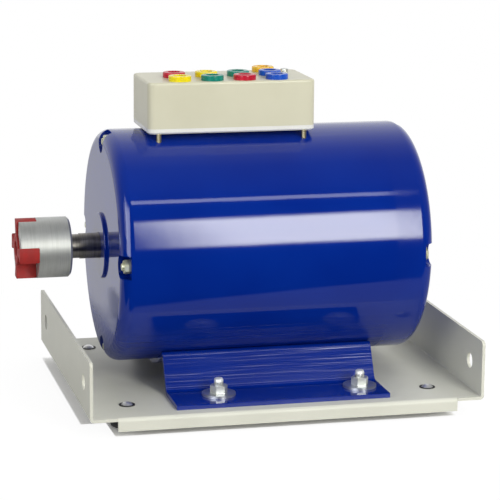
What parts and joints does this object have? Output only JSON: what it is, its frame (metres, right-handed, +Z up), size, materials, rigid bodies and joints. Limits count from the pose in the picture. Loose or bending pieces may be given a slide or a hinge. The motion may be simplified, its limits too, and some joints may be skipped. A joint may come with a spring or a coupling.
{
  "type": "demonstration electric motor",
  "caption": "Foot-mounted electric motor in a round casing on an upturned sheet-steel tray, with half a jaw coupling on its shaft and a terminal box of coloured plug sockets.",
  "frame": {"origin": "centre of the tray, on the surface that the rubber feet stand on", "axes": "+X along the shaft from the coupling towards the closed end, +Y away from the front, +Z up"},
  "size_m": [0.2912, 0.208, 0.2175],
  "materials": {
    "tray_paint": "light grey powder coat, satin",
    "foot_rubber": "matt black",
    "pin_steel": "bright plated",
    "motor_paint": "deep blue enamel, gloss",
    "zinc_plate": "bright zinc plate",
    "yellow_zinc": "yellow passivated zinc",
    "core_steel": "laminated sheet, matt",
    "enamelled_copper": "varnished copper wire",
    "lead_sleeve": "black sleeve",
    "cast_aluminium": "as cast",
    "turned_aluminium": "turned, satin",
    "shaft_steel": "turned, darkened",
    "bearing_steel": "ground",
    "spring_steel": "pressed sheet",
    "spider_rubber": "moulded elastomer, satin",
    "box_plastic": "cream, fine texture",
    "box_base_plastic": "pale cream",
    "pillar_brass": "turned",
    "contact_brass": "bright",
    "yellow_plastic": "gloss",
    "green_plastic": "gloss",
    "red_plastic": "gloss",
    "blue_plastic": "gloss",
    "amber_plastic": "gloss"
  },
  "bodies": {
    "stator": {"base_tray": "tray_paint", "rubber_feet": "foot_rubber", "lead_bush": "foot_rubber", "foot_pins": "pin_steel", "earth_screw": "pin_steel", "motor_saddle": "motor_paint", "motor_shell": "motor_paint", "drive_end_shield": "motor_paint", "rear_end_shield": "motor_paint", "saddle_bolts": "zinc_plate", "saddle_washers": "zinc_plate", "saddle_nuts": "zinc_plate", "tie_bolts": "yellow_zinc", "tie_bolt_nuts": "yellow_zinc", "stator_core": "core_steel", "stator_windings": "enamelled_copper", "lead_loom": "lead_sleeve", "drive_bearing_outer_ring": "bearing_steel", "rear_bearing_outer_ring": "bearing_steel", "preload_washer": "spring_steel", "terminal_box": "box_plastic", "terminal_box_base": "box_base_plastic", "box_pillars": "pillar_brass", "socket_contacts": "contact_brass", "yellow_sockets": "yellow_plastic", "green_sockets": "green_plastic", "red_sockets": "red_plastic", "blue_sockets": "blue_plastic", "earth_socket": "amber_plastic"},
    "rotor": {"shaft": "shaft_steel", "rotor_core": "core_steel", "rotor_cage": "cast_aluminium", "drive_bearing_inner_ring": "bearing_steel", "rear_bearing_inner_ring": "bearing_steel", "coupling_hub": "turned_aluminium", "coupling_spider": "spider_rubber", "coupling_key": "shaft_steel", "coupling_set_screw": "shaft_steel"},
    "drive_ball_set": {"drive_bearing_balls": "bearing_steel", "drive_bearing_cage": "spring_steel"},
    "rear_ball_set": {"rear_bearing_balls": "bearing_steel", "rear_bearing_cage": "spring_steel"}
  },
  "joints": [
    {"name": "rotor_spin", "type": "hinge", "parent": "stator", "child": "rotor", "pos_m": [0, 0, 0.103], "axis": [1, 0, 0], "continuous": true},
    {"name": "drive_balls_spin", "type": "hinge", "parent": "stator", "child": "drive_ball_set", "pos_m": [0, 0, 0.103], "axis": [1, 0, 0], "continuous": true},
    {"name": "rear_balls_spin", "type": "hinge", "parent": "stator", "child": "rear_ball_set", "pos_m": [0, 0, 0.103], "axis": [1, 0, 0], "continuous": true}
  ],
  "couplings": [
    {"joint": "drive_balls_spin", "follows": "rotor_spin", "ratio": 0.38158},
    {"joint": "rear_balls_spin", "follows": "rotor_spin", "ratio": 0.38158}
  ]
}
